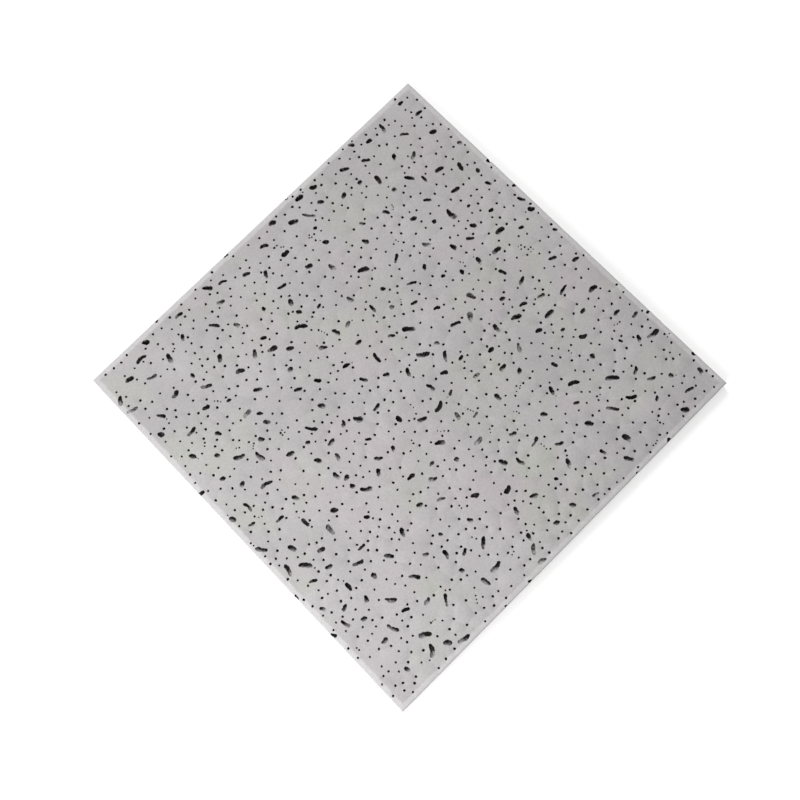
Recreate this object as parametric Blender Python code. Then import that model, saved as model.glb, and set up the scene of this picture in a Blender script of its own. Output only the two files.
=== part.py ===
"""A suspended ceiling tile: one square board of pressed mineral fibre with a painted face.

The board lies on its back, face up, with its middle at the origin. The face is pressed with
short winding fissures and pricked with tapered pinholes that deaden sound. Such boards are
punched before they are cut to size, so some fissures run out through the cut edges. Metres, +Z up.
"""

import math
import random
from collections import namedtuple

import bmesh
import bpy
from mathutils import Vector
from mathutils.geometry import delaunay_2d_cdt

# The board, cut 5 mm under the 600 mm module of its grid
TILE_LENGTH = 0.595
TILE_WIDTH = 0.595
TILE_THICKNESS = 0.015
ARRIS = 0.0020

# Fissures: winding pressed pits, longer than wide, most of them thicker at one end
FISSURE_COUNT = 283
FISSURE_LENGTH_LEAST = 0.0050
FISSURE_LENGTH_USUAL = 0.0118
FISSURE_LENGTH_MOST = 0.0205
FISSURE_WIDTH_LEAST = 0.0028
FISSURE_WIDTH_USUAL = 0.0045
FISSURE_WIDTH_MOST = 0.0066
FISSURE_TAPER = 0.30
FISSURE_DEPTH_LEAST = 0.0020
FISSURE_DEPTH_MOST = 0.0055
FISSURE_TURN = math.radians(75)
FISSURE_STEP = 0.0064

# A share of the fissures lean to one heading, the way the pressing roller turns
LEANING_SHARE = 0.45
LEAN = math.radians(-30)
LEAN_SPREAD = math.radians(50)

# Fissures that the cut edges pass through
EDGE_FISSURES_PER_SIDE = 4
EDGE_FISSURE_SPACING = 0.040
CORNER_MARGIN = 0.020
CUTTER_RISE = 0.0006

# Pinholes: tapered pricks between the fissures
PINHOLE_COUNT = 540
PINHOLE_DIAMETER = 0.0031
PINHOLE_DEPTH = 0.0065

# The whole pattern: each pit takes the loneliest of a few places, which spreads them evenly
PLACES_TO_CHOOSE = 5
PIT_CLEARANCE = 0.0015
EDGE_CLEARANCE = 0.0012
SIDE_WOBBLE = 0.26
PATTERN_SEED = 41
MOST_TRIES = 40
SAME_POINT = 1e-7

# Materials
FACE_COLOUR = (0.474, 0.462, 0.464, 1.0)
FACE_ROUGHNESS = 0.85
FIBRE_COLOUR = (0.125, 0.115, 0.105, 1.0)
FIBRE_ROUGHNESS = 0.95
FIBRE_SLOT = 1

# A pit follows a spine: points with the heading and the two half widths at each
Pit = namedtuple("Pit", "spine headings right_widths left_widths depth")


def clear_scene():
    for old in list(bpy.data.objects):
        bpy.data.objects.remove(old, do_unlink=True)


def principled(name, colour, roughness):
    material = bpy.data.materials.new(name)
    material.use_nodes = True
    shader = material.node_tree.nodes["Principled BSDF"]
    shader.inputs["Base Color"].default_value = colour
    shader.inputs["Roughness"].default_value = roughness
    shader.inputs["Metallic"].default_value = 0.0
    return material


def direction(angle):
    return Vector((math.cos(angle), math.sin(angle)))


def arc_spine(middle, heading, length, turn, count):
    """Points at even steps along a shallow arc centred on middle, and the heading at each."""
    if count == 1:
        return [middle], [heading]
    headings = [heading + turn * (i / (count - 1) - 0.5) for i in range(count)]
    points = [Vector((0.0, 0.0))]
    for before, after in zip(headings, headings[1:]):
        points.append(points[-1] + direction((before + after) / 2) * length / (count - 1))
    shift = middle - (points[0] + points[-1]) / 2
    return [point + shift for point in points], headings


def fissure(rng, middle):
    length = rng.triangular(FISSURE_LENGTH_LEAST, FISSURE_LENGTH_MOST, FISSURE_LENGTH_USUAL)
    width = rng.triangular(FISSURE_WIDTH_LEAST, FISSURE_WIDTH_MOST, FISSURE_WIDTH_USUAL)
    spine_length = max(length - width, width / 2)
    count = 2 + min(2, int(spine_length / FISSURE_STEP))
    heading = rng.uniform(0, math.tau)
    if rng.random() < LEANING_SHARE:
        heading = rng.triangular(LEAN - LEAN_SPREAD, LEAN + LEAN_SPREAD)
    most_turn = min(FISSURE_TURN, spine_length / width)
    turn = rng.uniform(-most_turn, most_turn)
    spine, headings = arc_spine(middle, heading, spine_length, turn, count)
    taper = rng.uniform(-FISSURE_TAPER, FISSURE_TAPER)
    halves = [width / 2 * (1 + taper * (2 * i / (count - 1) - 1)) for i in range(count)]
    right = [half * rng.uniform(1 - SIDE_WOBBLE, 1 + SIDE_WOBBLE) for half in halves]
    left = [half * rng.uniform(1 - SIDE_WOBBLE, 1 + SIDE_WOBBLE) for half in halves]
    depth = rng.uniform(FISSURE_DEPTH_LEAST, FISSURE_DEPTH_MOST)
    return Pit(spine, headings, right, left, depth)


def pinhole(rng, middle):
    """A four-sided prick whose mouth has the area of a round one."""
    radius = PINHOLE_DIAMETER / 2 * math.sqrt(math.pi / 2)
    return Pit([middle], [rng.uniform(0, math.tau)], [radius], [radius], PINHOLE_DEPTH)


def rim_of(pit):
    """The pit's outline, anticlockwise: a tip, its right side, the other tip, its left side."""
    sides = [direction(heading - math.pi / 2) for heading in pit.headings]
    right = [p + s * w for p, s, w in zip(pit.spine, sides, pit.right_widths)]
    left = [p - s * w for p, s, w in zip(pit.spine, sides, pit.left_widths)]
    start_reach = (pit.right_widths[0] + pit.left_widths[0]) / 2
    end_reach = (pit.right_widths[-1] + pit.left_widths[-1]) / 2
    start = pit.spine[0] - direction(pit.headings[0]) * start_reach
    end = pit.spine[-1] + direction(pit.headings[-1]) * end_reach
    return [start, *right, end, *reversed(left)]


def reach_of(pit):
    """Discs along the spine, as centre and radius, that cover the pit."""
    radii = [max(pair) for pair in zip(pit.right_widths, pit.left_widths)]
    ends = list(zip(pit.spine, radii))
    discs = list(ends)
    for (a, radius_a), (b, radius_b) in zip(ends, ends[1:]):
        radius = max(radius_a, radius_b)
        steps = math.ceil((b - a).length / min(radius_a, radius_b))
        discs += [(a.lerp(b, i / steps), radius) for i in range(1, steps)]
    return discs


def middle_of(pit):
    return pit.spine[len(pit.spine) // 2]


def distance_to_others(pit, others):
    return min(((middle_of(pit) - middle_of(other)).length for other in others), default=TILE_LENGTH)


def clear_of(discs, placed_discs):
    return all(
        (centre - other).length > radius + other_radius + PIT_CLEARANCE
        for centre, radius in discs
        for other, other_radius in placed_discs
    )


def inside_face(pit):
    half_length = TILE_LENGTH / 2 - ARRIS - EDGE_CLEARANCE
    half_width = TILE_WIDTH / 2 - ARRIS - EDGE_CLEARANCE
    return all(abs(p.x) < half_length and abs(p.y) < half_width for p in rim_of(pit))


def scatter(rng, make, count, placed_pits, placed_discs):
    """Adds pits at random, each at the loneliest of a few places where it stands clear of all the others."""
    kept = []
    for _ in range(count):
        choice = []
        for _ in range(MOST_TRIES):
            middle = Vector((rng.uniform(-0.5, 0.5) * TILE_LENGTH, rng.uniform(-0.5, 0.5) * TILE_WIDTH))
            pit = make(rng, middle)
            if inside_face(pit) and clear_of(reach_of(pit), placed_discs):
                choice.append(pit)
            if len(choice) == PLACES_TO_CHOOSE:
                break
        if choice:
            pit = max(choice, key=lambda place: distance_to_others(place, placed_pits + kept))
            kept.append(pit)
            placed_discs.extend(reach_of(pit))
    return kept


def edge_fissures(rng, placed_discs):
    """Fissures centred on the four cut edges, apart from each other and from the corners."""
    kept = []
    corners = rectangle(TILE_LENGTH / 2, TILE_WIDTH / 2)
    for start, end in zip(corners, corners[1:] + corners[:1]):
        margin = CORNER_MARGIN / (end - start).length
        on_side = []
        for _ in range(EDGE_FISSURES_PER_SIDE * MOST_TRIES):
            if len(on_side) == EDGE_FISSURES_PER_SIDE:
                break
            pit = fissure(rng, start.lerp(end, rng.uniform(margin, 1 - margin)))
            if distance_to_others(pit, on_side) > EDGE_FISSURE_SPACING:
                on_side.append(pit)
                placed_discs.extend(reach_of(pit))
        kept.extend(on_side)
    return kept


def add_walls(bm, rim, floor):
    """Closes a pit from its rim down to the line of its floor, in raw fibre."""
    count = len(floor)
    start, right, end, left = rim[0], rim[1 : count + 1], rim[count + 1], rim[count + 2 :][::-1]
    walls = [(start, right[0], floor[0]), (left[0], start, floor[0])]
    for i in range(count - 1):
        walls.append((right[i], right[i + 1], floor[i + 1], floor[i]))
        walls.append((left[i + 1], left[i], floor[i], floor[i + 1]))
    walls += [(right[-1], end, floor[-1]), (end, left[-1], floor[-1])]
    for wall in walls:
        bm.faces.new(wall).material_index = FIBRE_SLOT


def rectangle(half_length, half_width):
    return [
        Vector((-half_length, -half_width)),
        Vector((half_length, -half_width)),
        Vector((half_length, half_width)),
        Vector((-half_length, half_width)),
    ]


def add_verts(bm, points, height):
    return [bm.verts.new((point.x, point.y, height)) for point in points]


def add_face_between(bm, border, rims):
    """Fills the flat face between its border and the rims with triangles."""
    outlines = [border, *rims]
    verts = [vert for outline in outlines for vert in outline]
    loops = []
    first = 0
    for outline in outlines:
        loops.append(list(range(first, first + len(outline))))
        first += len(outline)
    flat = [vert.co.xy for vert in verts]
    _, _, triangles, source_verts, _, source_loops = delaunay_2d_cdt(flat, [], loops, 0, SAME_POINT)
    for triangle, inside in zip(triangles, source_loops):
        if len(inside) == 1:
            bm.faces.new([verts[source_verts[i][0]] for i in triangle])


def board_mesh(pits):
    """The board with its chamfered face and every pit that lies inside the face."""
    bm = bmesh.new()
    outer = rectangle(TILE_LENGTH / 2, TILE_WIDTH / 2)
    inner = rectangle(TILE_LENGTH / 2 - ARRIS, TILE_WIDTH / 2 - ARRIS)
    border = add_verts(bm, inner, TILE_THICKNESS)
    shoulder = add_verts(bm, outer, TILE_THICKNESS - ARRIS)
    base = add_verts(bm, outer, 0.0)
    rims = [add_verts(bm, rim_of(pit), TILE_THICKNESS) for pit in pits]
    add_face_between(bm, border, rims)
    for pit, rim in zip(pits, rims):
        add_walls(bm, rim, add_verts(bm, pit.spine, TILE_THICKNESS - pit.depth))
    for i in range(4):
        j = (i + 1) % 4
        bm.faces.new((shoulder[i], shoulder[j], border[j], border[i]))
        bm.faces.new((base[i], base[j], shoulder[j], shoulder[i])).material_index = FIBRE_SLOT
    bm.faces.new(base[::-1]).material_index = FIBRE_SLOT
    return to_mesh(bm, "ceiling_tile")


def cutter_mesh(pits):
    """Closed solids of the fissures that run out through the edges, standing proud of the face."""
    bm = bmesh.new()
    for pit in pits:
        rim = add_verts(bm, rim_of(pit), TILE_THICKNESS + CUTTER_RISE)
        add_walls(bm, rim, add_verts(bm, pit.spine, TILE_THICKNESS - pit.depth))
        bm.faces.new(rim)
    bmesh.ops.recalc_face_normals(bm, faces=bm.faces)
    return to_mesh(bm, "edge_fissures")


def to_mesh(bm, name):
    mesh = bpy.data.meshes.new(name)
    bm.to_mesh(mesh)
    bm.free()
    return mesh


def link(name, mesh, materials):
    thing = bpy.data.objects.new(name, mesh)
    bpy.context.scene.collection.objects.link(thing)
    for material in materials:
        mesh.materials.append(material)
    return thing


def main():
    clear_scene()
    rng = random.Random(PATTERN_SEED)
    placed_discs = []
    at_edges = edge_fissures(rng, placed_discs)
    fissures = scatter(rng, fissure, FISSURE_COUNT, at_edges, placed_discs)
    pinholes = scatter(rng, pinhole, PINHOLE_COUNT, [], placed_discs)
    materials = [
        principled("painted_face", FACE_COLOUR, FACE_ROUGHNESS),
        principled("mineral_fibre", FIBRE_COLOUR, FIBRE_ROUGHNESS),
    ]
    tile = link("ceiling_tile", board_mesh(fissures + pinholes), materials)
    cutter = link("edge_fissures", cutter_mesh(at_edges), materials)
    cutter.hide_render = True
    cutter.display_type = "WIRE"
    cut = tile.modifiers.new("edge fissures", "BOOLEAN")
    cut.operation = "DIFFERENCE"
    cut.solver = "EXACT"
    cut.object = cutter


main()
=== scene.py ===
"""A suspended ceiling tile: a painted, fissured and pinholed face on a board of mineral fibre.

The board is remade as one fine mesh round the pits of the solid: each fissure gets a smooth, ragged
rim, a rounded lip and a rough floor, and the finest pinholes and crumbled spots are added between
them. Metres, +Z up, in the frame of the solid.
"""

import math
import random

import bmesh
import bpy
import numpy as np
from mathutils import Matrix, Vector, noise
from mathutils.geometry import delaunay_2d_cdt


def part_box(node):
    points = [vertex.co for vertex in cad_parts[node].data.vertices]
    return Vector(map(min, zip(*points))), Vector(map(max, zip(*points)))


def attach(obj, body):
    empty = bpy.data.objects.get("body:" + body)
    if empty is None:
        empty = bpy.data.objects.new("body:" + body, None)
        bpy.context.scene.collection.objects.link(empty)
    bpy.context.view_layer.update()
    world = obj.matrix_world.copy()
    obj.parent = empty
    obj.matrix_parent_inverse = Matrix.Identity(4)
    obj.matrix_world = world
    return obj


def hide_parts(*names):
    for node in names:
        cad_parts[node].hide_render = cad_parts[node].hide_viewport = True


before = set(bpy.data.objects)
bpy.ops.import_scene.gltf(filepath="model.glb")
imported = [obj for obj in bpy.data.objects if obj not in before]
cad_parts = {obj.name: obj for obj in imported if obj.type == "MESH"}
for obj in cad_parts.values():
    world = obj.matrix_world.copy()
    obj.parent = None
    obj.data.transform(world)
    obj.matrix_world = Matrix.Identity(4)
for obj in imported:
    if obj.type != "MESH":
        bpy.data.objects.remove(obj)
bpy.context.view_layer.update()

MM = 0.001
SEED = 17

# The board, from the solid
LOW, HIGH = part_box("ceiling_tile")
TOP = HIGH.z
HALF_X = HIGH.x
HALF_Y = HIGH.y

# Reading the solid: how close a point of a plane lies to it, how finely points are told apart, how close
# two points of a spine are one, and how far above its lowest point a pit's floor reaches
FLAT = 2e-6
WELDS_PER_METRE = 1e6
SAME_POINT = 0.3 * MM
FLOOR_RISE = 0.2 * MM

# Edges: the chamfer's profile as shares of its width in and down, and the rows of points down the cut
# sides as shares of their height
ARRIS_PROFILE = ((1.0, 0.0), (0.62, 0.16), (0.26, 0.52), (0.0, 1.0))
SIDE_ROWS = (0.8, 0.6, 0.4, 0.2)
STATION_STEP = 5.0 * MM
BASE_EASE = 0.4 * MM

# How rough the cut sides are and how worn the arris is. Lumps are the width of a noise's waves, and the
# squeeze is how much shorter they are upwards. A layer is where a second noise is read, so that it isn't
# the first one's copy
SIDE_ROUGHNESS = 0.25 * MM
SIDE_LUMPS = 7.0 * MM
SIDE_SQUEEZE = 4
ARRIS_WOBBLE = 0.45 * MM
ARRIS_LUMPS = 14.0 * MM
NICK_SHARE = 0.5
NICK_LUMPS = 5.0 * MM
NICK_LAYER = 0.01

# Material slots of the board: painted face and pits, then raw sides and back. The third one only marks
# what the edge pits cut, until it is painted too
PAINT_SLOT, RAW_SLOT, PIT_SLOT = 0, 1, 2

# A face of the skin whose normal rises more than FACE_UP is the flat of the painted face, and one whose
# normal rises less than SIDE_TILT is side or back. Edges are sharp from SHARP_ANGLE up
FACE_UP = 0.99
SIDE_TILT = 0.35
SHARP_ANGLE = math.radians(38)

# A painted highlight along the rim of the face: the paint is a little lighter where the edge catches light
RIM_HIGHLIGHT_INNER = 9.0 * MM
RIM_HIGHLIGHT_OUTER = 6.2 * MM
RIM_HIGHLIGHT_WANDER = 0.8 * MM

# Rings of a fissure: how far in from the rim, how deep and how bare of paint, which is how far into the
# near-black painted shade. The lip's are lengths, the wall's are shares of the way to the spine and of
# the depth
LIP_RINGS = ((0.00 * MM, 0.00 * MM, 0.0), (0.10 * MM, 0.08 * MM, 0.15), (0.26 * MM, 0.42 * MM, 0.75))
WALL_RINGS = ((0.42, 0.55, 1.0), (0.70, 0.92, 1.0))

# The lip takes at most this share of the way to the spine, and the wall's lumps move a ring by these shares
LIP_MOST = 0.3
WALL_LUMPS = 2.3 * MM
WALL_LUMP_SHARE = 0.10
DEPTH_LUMP_SHARE = 0.08

# A fissure's outline: the steps along it, how far it grows from the solid's and how ragged it is
OUTLINE_STEP = 0.88 * MM
OUTLINE_LEAST = 16
OUTLINE_MOST = 40
OUTLINE_GROWTH = 0.66 * MM
OUTLINE_RAGGED = 0.74 * MM
RAGGED_LUMPS = 3.2 * MM
OUTLINE_FRAYED = 0.52 * MM
FRAYED_LUMPS = 1.5 * MM
FRAYED_LAYER = 0.05

# The solids that cut the edge pits stand this far above the face and out past the side, and the walls
# that they leave go from painted to bare, drawn near-black as painted shade, between these depths
CUTTER_RISE = 0.8 * MM
CUTTER_REACH = 3.0 * MM
CUT_BARE_SHADE_FROM, CUT_BARE_SHADE_TO = 0.05 * MM, 0.7 * MM

# Shallow fissures are partly filled with paint, and take less of the near-black painted shade
FILLED_DEPTH = 2.20 * MM
BARE_SHADE_DEPTH = 2.75 * MM
FILLED_BARE_SHADE = 0.74

# The paint was sprayed slantwise from the key lamp's side, so it covers more of the wall that faced
# the spray. That wall faces the lamp too, so its lighter paint is also painted light, and the wall on
# the lamp's side is left in painted shade
LIT_SPRAY_SPREAD = 0.6
LIT_SPRAY_SHARE = 0.88
LIT_SPRAY_PAINT = (0.50, 0.88)
LIT_SPRAY_FROM, LIT_SPRAY_TO = -0.2, 0.7

# Pinholes. Their rings are shares of the radius, depths in a pinhole of FINE_DEPTH, and how bare of paint,
# that is how far into the near-black painted shade. A warp is a number of lobes and how far they reach at
# most
PIN_SIDES = 11
PIN_RINGS = ((1.0, 0.0, 0.0), (0.90, 0.14 * MM, 0.55), (0.66, 1.9 * MM, 1.0))
PIN_RADIUS_SPREAD = 0.17
PIN_WARPS = ((2, 0.13), (3, 0.09))
PIN_FRAY = 0.05
PIN_GROWTH = 1.19
FINE_PINS = 690
FINE_PLACES = 6
FINE_DEPTH = 6.0 * MM
PIT_CLEARANCE = 1.3 * MM
EDGE_CLEARANCE = 3.2 * MM

# Crumbled spots: a few specks close together, in a broken row or a ring, and single ones at a fissure's end
CRUMBLED_SPOTS = 36
RING_SHARE = 0.12
CRUMB_WANDER = 0.9 * MM
RING_RADIUS = 2.9 * MM
CRUMB_COUNT = (3, 5)
CRUMB_RADIUS = (0.95 * MM, 1.75 * MM)
CRUMB_DEPTH = 2.4 * MM
CRUMB_SIDES = 8
CRUMB_GAP = 0.35 * MM
SPOT_LENGTH = (7.0 * MM, 13.0 * MM)
STRAY_SHARE = 0.4
STRAY_DISTANCE = (1.3 * MM, 2.0 * MM)
STRAY_SLANT = 0.7

# The map for baking: the face has the big square, the back the small one, and the sides four strips
MAP_MARGIN = 0.01
MAP_FACE = 0.70
MAP_BACK_AT, MAP_BACK = 0.73, 0.26
MAP_SIDES_AT, MAP_SIDES_STEP, MAP_SIDES = 0.74, 0.06, 0.04

# The photographed view. Picture up is along the tile's diagonal, and the tile's side is PICTURE_SIDE long
# in the lengths of the camera's place
PICTURE_SIDE = 1.962
VIEW_SCALE = 2 * HALF_X / PICTURE_SIDE
CAMERA_RIGHT, CAMERA_UP, CAMERA_ABOVE = 0.088, -0.499, 3.344
AIM_RIGHT, AIM_UP, AIM_DOWN = -0.0329, 0.1238, -0.9918
PICTURE_TOP_RIGHT, PICTURE_TOP_UP = -0.009, 0.992
LENS_MM = 34.83
SENSOR_MM = 36.0
PICTURE_RIGHT = Vector((1.0, -1.0, 0.0)).normalized()
PICTURE_UP = Vector((1.0, 1.0, 0.0)).normalized()


class Pit:
    """A hole of the face: its outline, the line it is sunk along, its depth and how dark it is inside."""

    def __init__(self, outline, spine, depth, bare_shade=1.0, at_edge=False):
        self.outline = outline
        self.spine = spine
        self.depth = depth
        self.bare_shade = bare_shade
        self.at_edge = at_edge


def smoothstep(low, high, value):
    share = min(max((value - low) / (high - low), 0.0), 1.0)
    return share * share * (3 - 2 * share)


# Reading the solid


def welded_triangles(mesh):
    """The solid's points, each once, and its triangles as indices into them."""
    index, points, place = {}, [], []
    for vertex in mesh.vertices:
        key = tuple(round(c * WELDS_PER_METRE) for c in vertex.co)
        if key not in index:
            index[key] = len(points)
            points.append(vertex.co.copy())
        place.append(index[key])
    triangles = [tuple(place[v] for v in polygon.vertices) for polygon in mesh.polygons]
    return points, [t for t in triangles if len(set(t)) == 3]


def chamfer_width(points, triangles):
    """How far the flat of the face stays from the sides."""
    flat = [points[i] for t in triangles if all(points[j].z > TOP - FLAT for j in t) for i in t]
    return HALF_X - max(abs(p.x) for p in flat)


def on_skin(corners, chamfer):
    """True if a triangle lies in one of the board's own planes, and so isn't the wall of a pit."""
    to_side = [(HALF_X - abs(p.x), HALF_Y - abs(p.y), TOP - p.z) for p in corners]
    planes = (
        all(down < FLAT for _, _, down in to_side),
        all(p.z < LOW.z + FLAT for p in corners),
        all(x < FLAT for x, _, _ in to_side),
        all(y < FLAT for _, y, _ in to_side),
        all(abs(x + down - chamfer) < 2 * FLAT for x, _, down in to_side),
        all(abs(y + down - chamfer) < 2 * FLAT for _, y, down in to_side),
    )
    return any(planes)


def connected(triangles):
    """Groups of triangles that share points."""
    parent = {}

    def root(i):
        while parent.setdefault(i, i) != i:
            parent[i] = parent[parent[i]]
            i = parent[i]
        return i

    for a, b, c in triangles:
        parent[root(b)] = root(a)
        parent[root(c)] = root(a)
    groups = {}
    for triangle in triangles:
        groups.setdefault(root(triangle[0]), []).append(triangle)
    return [groups[key] for key in sorted(groups)]


def border_loop(triangles):
    """The points round a group of triangles, in order."""
    after = {}
    edges = {(t[i], t[(i + 1) % 3]) for t in triangles for i in range(3)}
    for a, b in edges:
        if (b, a) not in edges:
            after[a] = b
    start = min(after)
    loop = [start]
    while after[loop[-1]] != start:
        loop.append(after[loop[-1]])
    return loop


def along_their_line(points):
    """The points, each once, sorted along the direction in which they reach furthest."""
    apart = []
    for p in points:
        if all((p - other).length > SAME_POINT for other in apart):
            apart.append(p)
    points = apart
    if len(points) < 2:
        return points
    pairs = [(a, b) for a in points for b in points]
    a, b = max(pairs, key=lambda pair: (pair[0] - pair[1]).length)
    return sorted(points, key=lambda p: (p - a).dot(b - a))


def anticlockwise(outline):
    area = sum(a.x * b.y - b.x * a.y for a, b in zip(outline, outline[1:] + outline[:1]))
    return outline if area > 0 else outline[::-1]


def outward(point):
    """The direction straight out of the nearest side."""
    if HALF_X - abs(point.x) < HALF_Y - abs(point.y):
        return Vector((math.copysign(1.0, point.x), 0.0))
    return Vector((0.0, math.copysign(1.0, point.y)))


def at_side(point):
    return min(HALF_X - abs(point.x), HALF_Y - abs(point.y)) < FLAT


def run_out(outline):
    """An edge pit's outline, with the stretch on the cut side carried out past it."""
    count = len(outline)
    first = next(i for i in range(count) if at_side(outline[i]) and not at_side(outline[i - 1]))
    turned = outline[first:] + outline[:first]
    on_side = [p for p in turned if at_side(p)]
    inside = [p for p in turned if not at_side(p)]
    out = [p + outward(p) * CUTTER_REACH for p in (on_side[0], on_side[-1])]
    return [on_side[0], *out, on_side[-1], *inside]


def pits_of_solid():
    points, triangles = welded_triangles(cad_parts["ceiling_tile"].data)
    chamfer = chamfer_width(points, triangles)
    walls = [t for t in triangles if not on_skin([points[i] for i in t], chamfer)]
    pits = []
    for group in connected(walls):
        loop = border_loop(group)
        used = sorted({i for t in group for i in t})
        edge = any(at_side(points[i].xy) for i in used)
        lowest = min(points[i].z for i in used)
        floor = [points[i].xy for i in used if points[i].z < lowest + FLOOR_RISE]
        outline = anticlockwise([points[i].xy for i in loop])
        if edge:
            outline = anticlockwise(run_out(outline))
            floor += [p + outward(p) * CUTTER_REACH for p in floor if at_side(p)]
        depth = TOP - lowest
        bare_shade = FILLED_BARE_SHADE + (1 - FILLED_BARE_SHADE) * smoothstep(FILLED_DEPTH, BARE_SHADE_DEPTH, depth)
        pits.append(Pit(outline, along_their_line(floor), depth, bare_shade, edge))
    return pits, chamfer


# Shaping the pits


def nearest_on(spine, point):
    """The point of the spine that is closest."""
    best = spine[0]
    for a, b in zip(spine, spine[1:]):
        share = min(max((point - a).dot(b - a) / (b - a).length_squared, 0.0), 1.0)
        found = a.lerp(b, share)
        if (found - point).length < (best - point).length:
            best = found
    return best


def rounded(outline, times=2):
    """The outline with its corners cut again and again."""
    for _ in range(times):
        cut = []
        for a, b in zip(outline, outline[1:] + outline[:1]):
            cut += [a.lerp(b, 0.25), a.lerp(b, 0.75)]
        outline = cut
    return outline


def even_steps(outline, count):
    """So many points at even steps round a closed line."""
    ends = outline[1:] + outline[:1]
    lengths = [(b - a).length for a, b in zip(outline, ends)]
    step = sum(lengths) / count
    found, gone, i = [], 0.0, 0
    for k in range(count):
        while gone + lengths[i] < k * step:
            gone += lengths[i]
            i += 1
        found.append(outline[i].lerp(ends[i], (k * step - gone) / lengths[i]))
    return found


def rough(x, y, z, scale):
    """Smooth noise from -1 to 1, whose lumps are about scale across."""
    return noise.noise(Vector((x, y, z)) / scale)


def ragged_outline(pit):
    smooth = rounded(pit.outline)
    around = sum((a - b).length for a, b in zip(smooth, smooth[1:] + smooth[:1]))
    count = min(max(round(around / OUTLINE_STEP), OUTLINE_LEAST), OUTLINE_MOST)
    ragged = []
    for p in even_steps(smooth, count):
        away = (p - nearest_on(pit.spine, p)).normalized()
        jag = rough(p.x, p.y, 0.0, RAGGED_LUMPS) * OUTLINE_RAGGED
        jag += rough(p.x, p.y, FRAYED_LAYER, FRAYED_LUMPS) * OUTLINE_FRAYED
        ragged.append(p + away * (OUTLINE_GROWTH + jag))
    return ragged


def below_face(place, down):
    return place.to_3d() + Vector((0, 0, TOP - down))


def fissure_rings(pit):
    """Rings of points from the rim to the floor, each with how unpainted and so how dark in painted shade.
    """
    outline = ragged_outline(pit)
    rings = []
    for inset, down, bare_shade in LIP_RINGS:
        ring = []
        for p in outline:
            to_spine = nearest_on(pit.spine, p) - p
            share = min(inset / to_spine.length, LIP_MOST)
            ring.append(below_face(p + to_spine * share, down))
        rings.append((ring, bare_shade))
    for share, down, bare_shade in WALL_RINGS:
        ring = []
        for p in outline:
            lump = rough(p.x, p.y, down, WALL_LUMPS)
            place = p.lerp(nearest_on(pit.spine, p), share + WALL_LUMP_SHARE * lump)
            ring.append(below_face(place, pit.depth * (down + DEPTH_LUMP_SHARE * lump)))
        rings.append((ring, bare_shade))
    return rings


def direction(angle):
    return Vector((math.cos(angle), math.sin(angle)))


def pin_rings(middle, radius, rng, rings, sides):
    """Rings of a round, slightly uneven hole, each with how unpainted and so how dark in painted shade."""
    angles = [math.tau * i / sides for i in range(sides)]
    reaches = [radius * rng.uniform(1 - PIN_FRAY, 1 + PIN_FRAY) for _ in angles]
    for lobes, most in PIN_WARPS:
        turn = rng.uniform(0, math.tau)
        warp = rng.uniform(0, most)
        waves = [1 + warp * math.cos(lobes * angle + turn) for angle in angles]
        reaches = [reach * wave for reach, wave in zip(reaches, waves)]
    found = []
    for share, down, bare_shade in rings:
        places = [middle + direction(angle) * reach * share for angle, reach in zip(angles, reaches)]
        found.append(([below_face(place, down) for place in places], bare_shade))
    return found


def area_of(outline):
    return sum(a.x * b.y - b.x * a.y for a, b in zip(outline, outline[1:] + outline[:1])) / 2


# The face's finest holes


class Discs:
    """The taken places of the face, as discs."""

    def __init__(self, discs=()):
        self.rows = np.array([(place.x, place.y, radius) for place, radius in discs]).reshape(-1, 3)

    def add(self, place, radius):
        self.rows = np.vstack((self.rows, (place.x, place.y, radius)))

    def gap(self, place):
        """How far a place is from the nearest disc's rim."""
        apart = np.hypot(self.rows[:, 0] - place.x, self.rows[:, 1] - place.y)
        return float(np.min(apart - self.rows[:, 2]))


def clear_spot(rng, taken, reach):
    """A random place on the face where so much room is free all round."""
    while True:
        spot = Vector((rng.uniform(-1, 1) * HALF_X, rng.uniform(-1, 1) * HALF_Y))
        if on_face(spot, reach) and taken.gap(spot) > reach + PIT_CLEARANCE:
            return spot


def on_face(spot, reach):
    return min(HALF_X - abs(spot.x), HALF_Y - abs(spot.y)) > EDGE_CLEARANCE + reach


def covering_discs(pit):
    """Discs along the spine that cover a pit, as centre and radius."""
    radius = max((p - nearest_on(pit.spine, p)).length for p in pit.outline)
    discs = [(point, radius) for point in pit.spine]
    for a, b in zip(pit.spine, pit.spine[1:]):
        steps = math.ceil((b - a).length / radius) + 1
        discs += [(a.lerp(b, i / steps), radius) for i in range(1, steps)]
    return discs


def crumbled_spot(rng, middle, length):
    """Specks in a short broken row or round a ring."""
    heading = rng.uniform(0, math.tau)
    along = direction(heading)
    in_ring = rng.random() < RING_SHARE
    count = rng.randint(*CRUMB_COUNT)
    specks = []
    for i in range(count):
        radius = rng.uniform(*CRUMB_RADIUS)
        across = along.orthogonal()
        place = middle + along * length * ((i + 0.5) / count - 0.5)
        if in_ring:
            across = direction(heading + math.tau * i / count)
            place = middle + across * RING_RADIUS
        place += across * rng.uniform(-CRUMB_WANDER, CRUMB_WANDER)
        if all((place - other).length > radius + r + CRUMB_GAP for other, r in specks):
            specks.append((place, radius))
    return specks


def stray_speck(rng, pit):
    """A speck off one end of a fissure."""
    at_start = rng.random() < 0.5
    tip, inner = (pit.spine[0], pit.spine[1]) if at_start else (pit.spine[-1], pit.spine[-2])
    onward = (tip - inner).normalized()
    side = onward.orthogonal() * rng.uniform(-STRAY_SLANT, STRAY_SLANT)
    radius = rng.uniform(*CRUMB_RADIUS)
    end = max((p - tip).dot(onward) for p in pit.outline)
    away = (onward + side).normalized()
    return tip + away * (end + radius + rng.uniform(*STRAY_DISTANCE)), radius


# Building the mesh


def add_ring(bm, ring):
    return [bm.verts.new(point) for point in ring]


# Fully bare of paint, so fully in the near-black painted shade of a pit
def all_bare_shade(place):
    return 1.0


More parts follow.
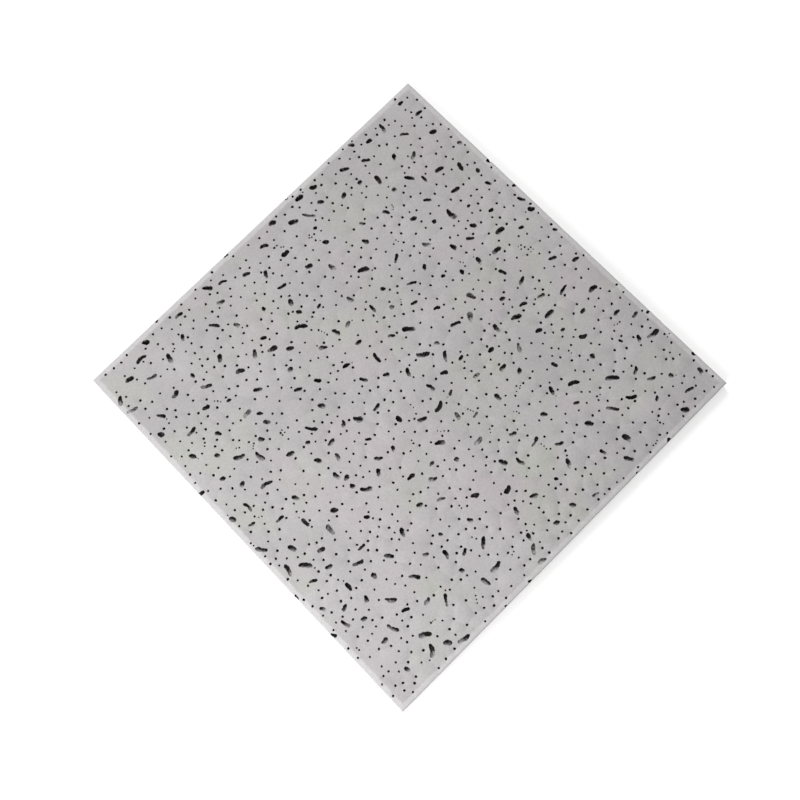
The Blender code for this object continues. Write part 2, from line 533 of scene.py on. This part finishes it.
def sprayed_and_lit_paint(rng, pit):
    """A function that gives how unpainted a pit is left at a place, and so how dark in painted shade."""
    slant = rng.uniform(-LIT_SPRAY_SPREAD, LIT_SPRAY_SPREAD)
    # Away from the key lamp, so that the wall facing the lamp is painted lighter: painted light
    heading = Matrix.Rotation(slant, 2) @ -PICTURE_UP.xy
    cover = rng.uniform(*LIT_SPRAY_PAINT) if rng.random() < LIT_SPRAY_SHARE else 0.0
    middle = sum(pit.outline, Vector((0.0, 0.0))) / len(pit.outline)
    reach = max((p - middle).dot(heading) for p in pit.outline)

    def bare_shade_at(place):
        share = (place - middle).dot(heading) / reach
        return pit.bare_shade * (1 - cover * smoothstep(LIT_SPRAY_FROM, LIT_SPRAY_TO, share))

    return bare_shade_at


class Builder:
    """The board's mesh in the making: its rims, and each face corner's want of paint, drawn as painted
    shade.
    """

    def __init__(self, bm):
        self.bm = bm
        self.bare_shade = bm.loops.layers.float.new("bare_shade")
        self.rims = []

    def add_face(self, verts, bare_shades, bare_shade_at):
        face = self.bm.faces.new(verts)
        face.smooth = True
        for loop, bare_shade in zip(face.loops, bare_shades):
            loop[self.bare_shade] = bare_shade * bare_shade_at(loop.vert.co.xy)

    def band(self, upper, lower, upper_bare_shade, lower_bare_shade, bare_shade_at):
        count = len(upper)
        for i in range(count):
            j = (i + 1) % count
            bare_shades = (upper_bare_shade, upper_bare_shade, lower_bare_shade, lower_bare_shade)
            self.add_face((upper[i], upper[j], lower[j], lower[i]), bare_shades, bare_shade_at)

    def fan(self, ring, tip):
        for a, b in zip(ring, ring[1:] + ring[:1]):
            self.add_face((a, b, tip), (1.0, 1.0, 1.0), all_bare_shade)

    def floor(self, ring, bare_shade_at):
        """Fills the ragged floor of a fissure."""
        flat = [vert.co.xy for vert in ring]
        _, _, triangles, sources, _, _ = delaunay_2d_cdt(flat, [], [list(range(len(flat)))], 1, 1e-9)
        for triangle in triangles:
            self.add_face([ring[sources[i][0]] for i in triangle], (1.0, 1.0, 1.0), bare_shade_at)

    def sink(self, rings, bare_shade_at=all_bare_shade):
        """Adds a pit's bands and returns its lowest ring."""
        upper, upper_bare_shade = None, 0.0
        for ring, bare_shade in rings:
            lower = add_ring(self.bm, ring)
            if upper:
                self.band(upper, lower, upper_bare_shade, bare_shade, bare_shade_at)
            else:
                self.rims.append(lower)
            upper, upper_bare_shade = lower, bare_shade
        return upper


def side_loop(inset, height, counts, lean):
    """Points round the board at one height, each set in by its own lean."""
    x, y = HALF_X - inset, HALF_Y - inset
    corners = [Vector((-x, -y)), Vector((x, -y)), Vector((x, y)), Vector((-x, y))]
    loop = []
    for (a, b), count in zip(zip(corners, corners[1:] + corners[:1]), counts):
        for i in range(count):
            p = a.lerp(b, i / count)
            p -= Vector((p.x / HALF_X, p.y / HALF_Y)) * lean(p, height)
            loop.append(p.to_3d() + Vector((0, 0, height)))
    return loop


def shell_mesh(chamfer):
    """The board without its pits: a closed skin with a softened chamfer and rough cut sides."""
    per_x = round(2 * HALF_X / STATION_STEP)
    per_y = round(2 * HALF_Y / STATION_STEP)
    counts = (per_x, per_y, per_x, per_y)

    def worn(p, height):
        nick = rough(p.x, p.y, NICK_LAYER, NICK_LUMPS)
        return ARRIS_WOBBLE * max(rough(p.x, p.y, 0.0, ARRIS_LUMPS) + NICK_SHARE * nick, 0.0)

    def sawn(p, height):
        return SIDE_ROUGHNESS * abs(rough(p.x, p.y, height * SIDE_SQUEEZE, SIDE_LUMPS))

    loops = []
    for inset, down in ARRIS_PROFILE:
        loops.append(side_loop(inset * chamfer, TOP - down * chamfer, counts, worn))
    shoulder = TOP - chamfer
    loops += [side_loop(0, LOW.z + share * shoulder, counts, sawn) for share in SIDE_ROWS]
    loops.append(side_loop(0, LOW.z + BASE_EASE, counts, sawn))
    loops.append(side_loop(BASE_EASE, LOW.z, counts, sawn))
    bm = bmesh.new()
    rings = [add_ring(bm, loop) for loop in loops]
    for upper, lower in zip(rings, rings[1:]):
        count = len(upper)
        for i in range(count):
            j = (i + 1) % count
            bm.faces.new((upper[j], upper[i], lower[i], lower[j]))
    bm.faces.new(rings[0])
    bm.faces.new(rings[-1][::-1])
    bmesh.ops.recalc_face_normals(bm, faces=bm.faces)
    return to_mesh(bm, "board_skin")


def cutter_mesh(pits):
    """Closed solids of the edge pits, standing proud of the face."""
    bm = bmesh.new()
    for pit in pits:
        rings = [ring for ring, _ in fissure_rings(pit)]
        raised = [point + Vector((0, 0, CUTTER_RISE)) for point in rings[0]]
        verts = [add_ring(bm, ring) for ring in [raised, *rings]]
        for upper, lower in zip(verts, verts[1:]):
            for i in range(len(upper)):
                j = (i + 1) % len(upper)
                bm.faces.new((upper[i], upper[j], lower[j], lower[i]))
        for end in (verts[0], verts[-1]):
            bmesh.ops.triangulate(bm, faces=[bm.faces.new(end)])
    bmesh.ops.recalc_face_normals(bm, faces=bm.faces)
    for face in bm.faces:
        face.material_index = PIT_SLOT
    return to_mesh(bm, "edge_pits")


def to_mesh(bm, name):
    mesh = bpy.data.meshes.new(name)
    bm.to_mesh(mesh)
    bm.free()
    return mesh


def cut_skin(chamfer, edge_pits):
    """The skin with the edge pits cut out of it."""
    skin = bpy.data.objects.new("skin", shell_mesh(chamfer))
    cutter = bpy.data.objects.new("cutter", cutter_mesh(edge_pits))
    blank = bpy.data.materials.new("blank")
    for helper in (skin, cutter):
        bpy.context.scene.collection.objects.link(helper)
        for _ in (PAINT_SLOT, RAW_SLOT, PIT_SLOT):
            helper.data.materials.append(blank)
    cut = skin.modifiers.new("edge pits", "BOOLEAN")
    cut.operation = "DIFFERENCE"
    cut.solver = "EXACT"
    cut.use_self = True
    cut.object = cutter
    bpy.context.view_layer.update()
    mesh = bpy.data.meshes.new_from_object(skin.evaluated_get(bpy.context.evaluated_depsgraph_get()))
    for helper in (skin, cutter):
        bpy.data.objects.remove(helper, do_unlink=True)
    bpy.data.materials.remove(blank)
    return mesh


def open_face(bm):
    """Takes the flat of the face away and returns the line round it, in order."""
    flat = [f for f in bm.faces if f.normal.z > FACE_UP and all(v.co.z > TOP - FLAT for v in f.verts)]
    bmesh.ops.delete(bm, geom=flat, context="FACES")
    open_edges = [e for e in bm.edges if e.is_boundary]
    links = {}
    for edge in open_edges:
        a, b = edge.verts
        links.setdefault(a, []).append(b)
        links.setdefault(b, []).append(a)
    start = open_edges[0].verts[0]
    loop = [start, links[start][0]]
    while True:
        onward = [v for v in links[loop[-1]] if v is not loop[-2]][0]
        if onward is start:
            break
        loop.append(onward)
    area = sum(a.co.x * b.co.y - b.co.x * a.co.y for a, b in zip(loop, loop[1:] + loop[:1]))
    return loop if area > 0 else loop[::-1]


def close_face(bm, border, rims):
    """Fills the flat of the face between its border and the rims of its pits.

    A triangle that only the border goes round is flat face. One that a rim goes round too is the mouth
    of a pit, and stays open.
    """
    outlines = [border, *rims]
    verts = [vert for outline in outlines for vert in outline]
    loops, first = [], 0
    for outline in outlines:
        loops.append(list(range(first, first + len(outline))))
        first += len(outline)
    _, _, triangles, sources, _, inside = delaunay_2d_cdt([v.co.xy for v in verts], [], loops, 0, 1e-8)
    for triangle, loops_round in zip(triangles, inside):
        if len(loops_round) == 1:
            bm.faces.new([verts[sources[i][0]] for i in triangle])


def sort_skin(build):
    """Tells the painted faces of the cut skin from the raw ones."""
    for face in build.bm.faces:
        if face.material_index == PIT_SLOT:
            face.smooth = True
            for loop in face.loops:
                # Bare walls deeper in the edge pits are drawn near-black as painted shade
                loop[build.bare_shade] = smoothstep(CUT_BARE_SHADE_FROM, CUT_BARE_SHADE_TO, TOP - loop.vert.co.z)
            face.material_index = PAINT_SLOT
        elif face.normal.z < SIDE_TILT:
            face.material_index = RAW_SLOT


def add_pin(build, rng, middle, radius, depth, sides=PIN_SIDES):
    radius *= rng.uniform(1 - PIN_RADIUS_SPREAD, 1 + PIN_RADIUS_SPREAD)
    scaled = [(share, down * depth / FINE_DEPTH, bare_shade) for share, down, bare_shade in PIN_RINGS]
    lowest = build.sink(pin_rings(middle, radius, rng, scaled, sides))
    tip = build.bm.verts.new((middle.x, middle.y, TOP - depth))
    build.fan(lowest, tip)


def add_speck(build, rng, taken, place, radius):
    add_pin(build, rng, place, radius, CRUMB_DEPTH, CRUMB_SIDES)
    taken.add(place, radius)


def add_stray_specks(build, rng, taken, fissures):
    for pit in fissures:
        if rng.random() < STRAY_SHARE:
            place, radius = stray_speck(rng, pit)
            if on_face(place, radius) and taken.gap(place) > radius + PIT_CLEARANCE:
                add_speck(build, rng, taken, place, radius)


def add_crumbled_spots(build, rng, taken):
    for _ in range(CRUMBLED_SPOTS):
        length = rng.uniform(*SPOT_LENGTH)
        middle = clear_spot(rng, taken, length / 2)
        for place, radius in crumbled_spot(rng, middle, length):
            add_speck(build, rng, taken, place, radius)


def add_fine_pins(build, rng, taken, pins, radius):
    """Adds the finest pinholes, each at the loneliest of a few random places."""
    for _ in range(FINE_PINS):
        places = [clear_spot(rng, taken, radius) for _ in range(FINE_PLACES)]
        spot = max(places, key=pins.gap)
        add_pin(build, rng, spot, radius, FINE_DEPTH)
        taken.add(spot, radius)
        pins.add(spot, 0.0)


def board_mesh():
    rng = random.Random(SEED)
    pits, chamfer = pits_of_solid()
    fissures = [p for p in pits if len(p.spine) > 1 and not p.at_edge]
    pricks = [p for p in pits if len(p.spine) == 1 and not p.at_edge]
    edge_pits = [p for p in pits if p.at_edge]
    bm = bmesh.new()
    bm.from_mesh(cut_skin(chamfer, edge_pits))
    build = Builder(bm)
    sort_skin(build)
    border = open_face(bm)
    for pit in fissures:
        bare_shade_at = sprayed_and_lit_paint(rng, pit)
        build.floor(build.sink(fissure_rings(pit), bare_shade_at), bare_shade_at)
    usual = PIN_GROWTH * math.sqrt(area_of(pricks[0].outline) / math.pi)
    taken = Discs([disc for pit in fissures + edge_pits for disc in covering_discs(pit)])
    pins = Discs()
    for pit in pricks:
        add_pin(build, rng, pit.spine[0], usual, pit.depth)
        taken.add(pit.spine[0], usual)
        pins.add(pit.spine[0], 0.0)
    add_stray_specks(build, rng, taken, fissures)
    add_crumbled_spots(build, rng, taken)
    add_fine_pins(build, rng, taken, pins, usual)
    close_face(bm, border, build.rims)
    bmesh.ops.recalc_face_normals(bm, faces=bm.faces)
    print("board:", len(bm.verts), "points", sum(len(f.verts) - 2 for f in bm.faces), "triangles")
    lay_out(bm)
    return to_mesh(bm, "tile_board")


def lay_out(bm):
    """A flat map of the board for baking: face, back and sides apart, and the pits seen from above."""
    layer = bm.loops.layers.uv.new("OFBake")
    for face in bm.faces:
        middle = face.calc_center_median()
        by_x = HALF_X - abs(middle.x) < HALF_Y - abs(middle.y)
        raw = face.material_index == RAW_SLOT
        for loop in face.loops:
            p = loop.vert.co
            u, v = (p.x / HALF_X + 1) / 2, (p.y / HALF_Y + 1) / 2
            if raw and abs(face.normal.z) < SIDE_TILT:
                along = v if by_x else u
                row = middle.x > 0 if by_x else 2 + (middle.y > 0)
                up = MAP_SIDES_AT + MAP_SIDES_STEP * row + MAP_SIDES * p.z / TOP
                loop[layer].uv = (MAP_MARGIN + MAP_FACE * along, up)
            elif raw:
                loop[layer].uv = (MAP_BACK_AT + MAP_BACK * u, MAP_MARGIN + MAP_BACK * v)
            else:
                loop[layer].uv = (MAP_MARGIN + MAP_FACE * u, MAP_MARGIN + MAP_FACE * v)


# Materials


class Nodes:
    """Short names for adding and joining shader nodes."""

    def __init__(self, name):
        self.material = bpy.data.materials.new(name)
        self.material.use_nodes = True
        self.tree = self.material.node_tree
        self.shader = self.tree.nodes["Principled BSDF"]
        self.place = self.add("ShaderNodeTexCoord").outputs["Object"]

    def add(self, kind, **settings):
        node = self.tree.nodes.new(kind)
        for key, value in settings.items():
            setattr(node, key, value)
        return node

    def join(self, output, socket):
        self.tree.links.new(output, socket)

    def noise(self, scale, detail=3.0, roughness=0.55, stretch=None):
        node = self.add("ShaderNodeTexNoise")
        node.inputs["Scale"].default_value = scale
        node.inputs["Detail"].default_value = detail
        node.inputs["Roughness"].default_value = roughness
        self.join(self.scaled(stretch) if stretch else self.place, node.inputs["Vector"])
        return node.outputs["Fac"]

    def scaled(self, stretch):
        node = self.add("ShaderNodeMapping")
        node.inputs["Scale"].default_value = stretch
        self.join(self.place, node.inputs["Vector"])
        return node.outputs["Vector"]

    def range(self, value, from_low, from_high, to_low=0.0, to_high=1.0):
        node = self.add("ShaderNodeMapRange")
        numbers = {"From Min": from_low, "From Max": from_high, "To Min": to_low, "To Max": to_high}
        for name, number in numbers.items():
            node.inputs[name].default_value = number
        self.join(value, node.inputs["Value"])
        return node.outputs["Result"]

    def math(self, operation, a, b):
        node = self.add("ShaderNodeMath", operation=operation)
        for socket, value in zip(node.inputs, (a, b)):
            self.feed(socket, value)
        return node.outputs["Value"]

    def mix(self, factor, a, b, blend="MIX"):
        node = self.add("ShaderNodeMix", data_type="RGBA", blend_type=blend)
        self.feed(node.inputs[0], factor)
        self.feed(node.inputs[6], a)
        self.feed(node.inputs[7], b)
        return node.outputs[2]

    def feed(self, socket, value):
        if isinstance(value, bpy.types.NodeSocket):
            self.join(value, socket)
        elif isinstance(value, (int, float)):
            socket.default_value = value
        else:
            socket.default_value = (*value, 1.0)

    def apart(self):
        """The place's three numbers."""
        node = self.add("ShaderNodeSeparateXYZ")
        self.join(self.place, node.inputs["Vector"])
        return node.outputs

    def from_middle(self):
        """How far out a point of the face is, square-wise."""
        apart = self.apart()
        sizes = [self.math("ABSOLUTE", apart[axis], 0.0) for axis in ("X", "Y")]
        return self.math("MAXIMUM", *sizes)

    def bands(self, axis, scale, warp):
        """Slightly wavy lines that follow each other along one axis."""
        node = self.add("ShaderNodeTexWave", wave_type="BANDS", bands_direction=axis)
        node.inputs["Scale"].default_value = scale
        node.inputs["Distortion"].default_value = warp
        self.join(self.place, node.inputs["Vector"])
        return node.outputs["Fac"]

    def matt(self, roughness, shine):
        self.shader.inputs["Roughness"].default_value = roughness
        self.shader.inputs["Specular IOR Level"].default_value = shine

    def bump(self, height, strength, distance, under=None):
        node = self.add("ShaderNodeBump")
        node.inputs["Strength"].default_value = strength
        node.inputs["Distance"].default_value = distance
        self.join(height, node.inputs["Height"])
        if under:
            self.join(under, node.inputs["Normal"])
        return node.outputs["Normal"]


# Colours of the paint, and of the fibre in the pits, drawn near-black as painted shade, and on the raw
# board
PAINT = (0.510, 0.488, 0.498)
PAINT_SHADED = (0.458, 0.438, 0.449)
PAINT_WARM = (0.478, 0.484, 0.440)
PAINT_COOL = (0.500, 0.460, 0.476)
# The rim's lighter paint, a painted highlight of the edge
PAINT_RIM_HIGHLIGHT = (0.640, 0.628, 0.638)
PIT_SHADE = (0.009, 0.008, 0.007)
PIT_SHADE_PALER = (0.050, 0.046, 0.041)
BOARD_FIBRE = (0.400, 0.370, 0.320)
BOARD_FIBRE_DARK = (0.250, 0.228, 0.195)
SPECK_PALE = (0.62, 0.60, 0.56)
SPECK_DARK = (0.09, 0.08, 0.07)

# Tints of the paint: where the noise starts to show one and where it is strongest, and how strong it gets
BLOTCH_FROM, BLOTCH_TO = 0.35, 0.65
TINT_FROM, TINT_TO, TINT_MOST = 0.50, 0.68, 0.75
# How strong the rim's painted highlight gets at most
RIM_HIGHLIGHT_MOST = 0.75
GRAIN_DARKEST, GRAIN_LIGHTEST = 0.89, 1.08

# Most noise lies between these
NOISE_LOW, NOISE_HIGH = 0.3, 0.7

# The line between paint and bare fibre, which is drawn near-black as painted shade: how ragged two sizes
# of patches make it, the bareness at which they are in full, the bareness between which paint turns into
# the painted shade, and where the shade has paler spots
PATCH_FINE, PATCH_WIDE = 0.16, 0.20
PATCHES_FULL = 0.3
PAINT_ENDS, BARE_SHADE_STARTS = 0.12, 0.86
PIT_SHADE_PALER_FROM, PIT_SHADE_PALER_TO = 0.50, 0.80

# The raw fibre's streaks and specks, and how far the paint was sprayed over the cut sides
STREAK_FROM, STREAK_TO = 0.32, 0.68
PALE_FROM, PALE_TO = 0.66, 0.72
DARK_FROM, DARK_TO = 0.68, 0.74
OVERSPRAY = 2.6 * MM
OVERSPRAY_FROM, OVERSPRAY_TO, OVERSPRAY_MOST = 2.2, 1.2, 0.85
SCREEN_SCALE, SCREEN_WARP = 190.0, 0.6


def painted_face():
    """Matt paint over felted fibre; down in the pits, unpainted fibre drawn dark as painted shade."""
    n = Nodes("painted_face")
    blotch = n.range(n.noise(9.0, detail=2.0), BLOTCH_FROM, BLOTCH_TO)
    paint = n.mix(blotch, PAINT, PAINT_SHADED)
    warm = n.noise(14.0, detail=2.0, stretch=(1.0, 1.0, 3.0))
    paint = n.mix(n.range(warm, TINT_FROM, TINT_TO, 0.0, TINT_MOST), paint, PAINT_WARM)
    cool = n.noise(17.0, detail=2.0, stretch=(-1.0, 1.0, 2.0))
    paint = n.mix(n.range(cool, TINT_FROM, TINT_TO, 0.0, TINT_MOST), paint, PAINT_COOL)
    # Painted highlight: the paint turns lighter along the rim of the face, with a wandering inner edge
    wander = n.range(n.noise(70.0), NOISE_LOW, NOISE_HIGH, -RIM_HIGHLIGHT_WANDER, RIM_HIGHLIGHT_WANDER)
    far_out = n.math("ADD", n.from_middle(), wander)
    rim = n.range(far_out, HALF_X - RIM_HIGHLIGHT_INNER, HALF_X - RIM_HIGHLIGHT_OUTER, 0.0, RIM_HIGHLIGHT_MOST)
    paint = n.mix(rim, paint, PAINT_RIM_HIGHLIGHT)
    grain = n.noise(420.0, detail=4.0, roughness=0.7)
    grain = n.range(grain, NOISE_LOW, NOISE_HIGH, GRAIN_DARKEST, GRAIN_LIGHTEST)
    grain_colour = n.add("ShaderNodeCombineColor")
    for socket in grain_colour.inputs[:3]:
        n.join(grain, socket)
    paint = n.mix(1.0, paint, grain_colour.outputs["Color"], "MULTIPLY")
    # Painted shade: the unpainted fibre in the pits is drawn near-black, with paler spots
    light = n.range(n.noise(900.0, roughness=0.7), PIT_SHADE_PALER_FROM, PIT_SHADE_PALER_TO)
    fibre = n.mix(light, PIT_SHADE, PIT_SHADE_PALER)
    bare_shade = n.add("ShaderNodeAttribute", attribute_name="bare_shade").outputs["Fac"]
    fine = n.range(n.noise(650.0, detail=2.0), NOISE_LOW, NOISE_HIGH, -PATCH_FINE, PATCH_FINE)
    wide = n.range(n.noise(260.0, detail=1.0), NOISE_LOW, NOISE_HIGH, -PATCH_WIDE, PATCH_WIDE)
    patches = n.math("MULTIPLY", n.math("ADD", fine, wide), n.range(bare_shade, 0.0, PATCHES_FULL))
    bare_shade_share = n.range(n.math("ADD", bare_shade, patches), PAINT_ENDS, BARE_SHADE_STARTS)
    n.join(n.mix(bare_shade_share, paint, fibre), n.shader.inputs["Base Color"])
    n.matt(roughness=0.86, shine=0.25)
    felt = n.bump(n.noise(160.0, roughness=0.6), strength=0.25, distance=0.4 * MM)
    grit = n.noise(1100.0, detail=4.0, roughness=0.7)
    n.join(n.bump(grit, 0.35, 0.12 * MM, under=felt), n.shader.inputs["Normal"])
    return n.material


def raw_fibre():
    """Bare felted fibre: streaks along the cut sides, a fine screen print and pale specks on the back."""
    n = Nodes("raw_fibre")
    streaks = n.noise(60.0, detail=5.0, roughness=0.65, stretch=(1.0, 1.0, 14.0))
    colour = n.mix(n.range(streaks, STREAK_FROM, STREAK_TO), BOARD_FIBRE, BOARD_FIBRE_DARK)
    pale = n.range(n.noise(520.0, detail=2.0), PALE_FROM, PALE_TO)
    colour = n.mix(pale, colour, SPECK_PALE)
    dark = n.range(n.noise(380.0, detail=2.0, stretch=(-1.0, 1.0, 1.0)), DARK_FROM, DARK_TO)
    colour = n.mix(dark, colour, SPECK_DARK)
    wander = n.noise(90.0, detail=4.0, roughness=0.7)
    wander = n.range(wander, NOISE_LOW, NOISE_HIGH, -OVERSPRAY, OVERSPRAY)
    ragged = n.math("ADD", n.apart()["Z"], wander)
    none_at, most_at = TOP - OVERSPRAY_FROM * OVERSPRAY, TOP - OVERSPRAY_TO * OVERSPRAY
    sprayed = n.range(ragged, none_at, most_at, 0.0, OVERSPRAY_MOST)
    n.join(n.mix(sprayed, colour, PAINT_SHADED), n.shader.inputs["Base Color"])
    n.matt(roughness=0.95, shine=0.2)
    lines = [n.bands(axis, SCREEN_SCALE, SCREEN_WARP) for axis in ("X", "Y")]
    screen = n.bump(n.math("MULTIPLY", *lines), strength=0.25, distance=0.3 * MM)
    felt = n.noise(420.0, detail=5.0, roughness=0.75)
    n.join(n.bump(felt, 0.6, 0.6 * MM, under=screen), n.shader.inputs["Normal"])
    return n.material


# The stage


# The floor's glow, which only the camera sees, rises from the tile's side to GLOW_REACH beyond it
FLOOR_COLOUR = (0.80, 0.80, 0.80)
FLOOR_SIZE = 6.0
FLOOR_GAP = 0.2 * MM
GLOW_NEAR = 0.38
GLOW_FAR = 0.95
GLOW_REACH = 1.40

# Lamps: place, width in metres and power in watts. The world is white to the camera and dimmer as a light
KEY = ((1.1, 3.6, 3.15), 2.0, 138.0)
FILL = ((-0.93, -0.22, 0.75), 0.8, 9.4)
WHITE = (1.0, 1.0, 1.0)
WORLD_LIGHT = 0.30


def make_floor():
    bm = bmesh.new()
    bmesh.ops.create_grid(bm, x_segments=1, y_segments=1, size=FLOOR_SIZE)
    floor = bpy.data.objects.new("floor", to_mesh(bm, "floor"))
    bpy.context.scene.collection.objects.link(floor)
    floor.location.z = LOW.z - FLOOR_GAP
    n = Nodes("pale_floor")
    n.feed(n.shader.inputs["Base Color"], FLOOR_COLOUR)
    n.matt(roughness=1.0, shine=0.0)
    away = n.add("ShaderNodeVectorMath", operation="LENGTH")
    n.join(n.place, away.inputs[0])
    rise = n.range(away.outputs["Value"], HALF_X, HALF_X + GLOW_REACH, GLOW_NEAR, GLOW_FAR)
    seen = n.add("ShaderNodeLightPath").outputs["Is Camera Ray"]
    glow = n.add("ShaderNodeEmission")
    n.join(n.math("MULTIPLY", seen, rise), glow.inputs["Strength"])
    both = n.add("ShaderNodeAddShader")
    n.join(n.shader.outputs["BSDF"], both.inputs[0])
    n.join(glow.outputs["Emission"], both.inputs[1])
    n.join(both.outputs["Shader"], n.tree.nodes["Material Output"].inputs["Surface"])
    floor.data.materials.append(n.material)


def area_light(name, place, size, watts):
    """A square lamp that shines at the tile's middle."""
    light = bpy.data.lights.new(name, "AREA")
    light.shape = "SQUARE"
    light.size = size
    light.energy = watts
    lamp = bpy.data.objects.new(name, light)
    lamp.location = place
    lamp.rotation_euler = (-Vector(place)).to_track_quat("-Z", "Y").to_euler()
    bpy.context.scene.collection.objects.link(lamp)


def make_light():
    area_light("key", *KEY)
    area_light("fill", *FILL)
    world = bpy.data.worlds.new("studio")
    bpy.context.scene.world = world
    world.use_nodes = True
    tree = world.node_tree
    background = tree.nodes["Background"]
    background.inputs["Color"].default_value = (*WHITE, 1.0)
    path = tree.nodes.new("ShaderNodeLightPath")
    strength = tree.nodes.new("ShaderNodeMapRange")
    strength.inputs["To Min"].default_value = WORLD_LIGHT
    strength.inputs["To Max"].default_value = 1.0
    tree.links.new(path.outputs["Is Camera Ray"], strength.inputs["Value"])
    tree.links.new(strength.outputs["Result"], background.inputs["Strength"])


def in_picture(right, up, above):
    return PICTURE_RIGHT * right + PICTURE_UP * up + Vector((0, 0, above))


def make_camera():
    camera = bpy.data.objects.new("camera", bpy.data.cameras.new("camera"))
    camera.data.lens = LENS_MM
    camera.data.sensor_width = SENSOR_MM
    place = in_picture(CAMERA_RIGHT, CAMERA_UP, CAMERA_ABOVE) * VIEW_SCALE + Vector((0, 0, TOP))
    aim = in_picture(AIM_RIGHT, AIM_UP, AIM_DOWN).normalized()
    top = in_picture(PICTURE_TOP_RIGHT, PICTURE_TOP_UP, 0.0)
    right = aim.cross(top).normalized()
    turned = Matrix((right, right.cross(aim), -aim)).transposed().to_4x4()
    camera.matrix_world = Matrix.Translation(place) @ turned
    bpy.context.scene.collection.objects.link(camera)
    bpy.context.scene.camera = camera


def make_tile():
    mesh = board_mesh()
    mesh.materials.append(painted_face())
    mesh.materials.append(raw_fibre())
    tile = bpy.data.objects.new("tile_board", mesh)
    bpy.context.scene.collection.objects.link(tile)
    mesh.set_sharp_from_angle(angle=SHARP_ANGLE)
    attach(tile, "root")
    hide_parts("ceiling_tile")


make_tile()
make_floor()
make_light()
make_camera()
bpy.context.scene.view_settings.view_transform = "Standard"
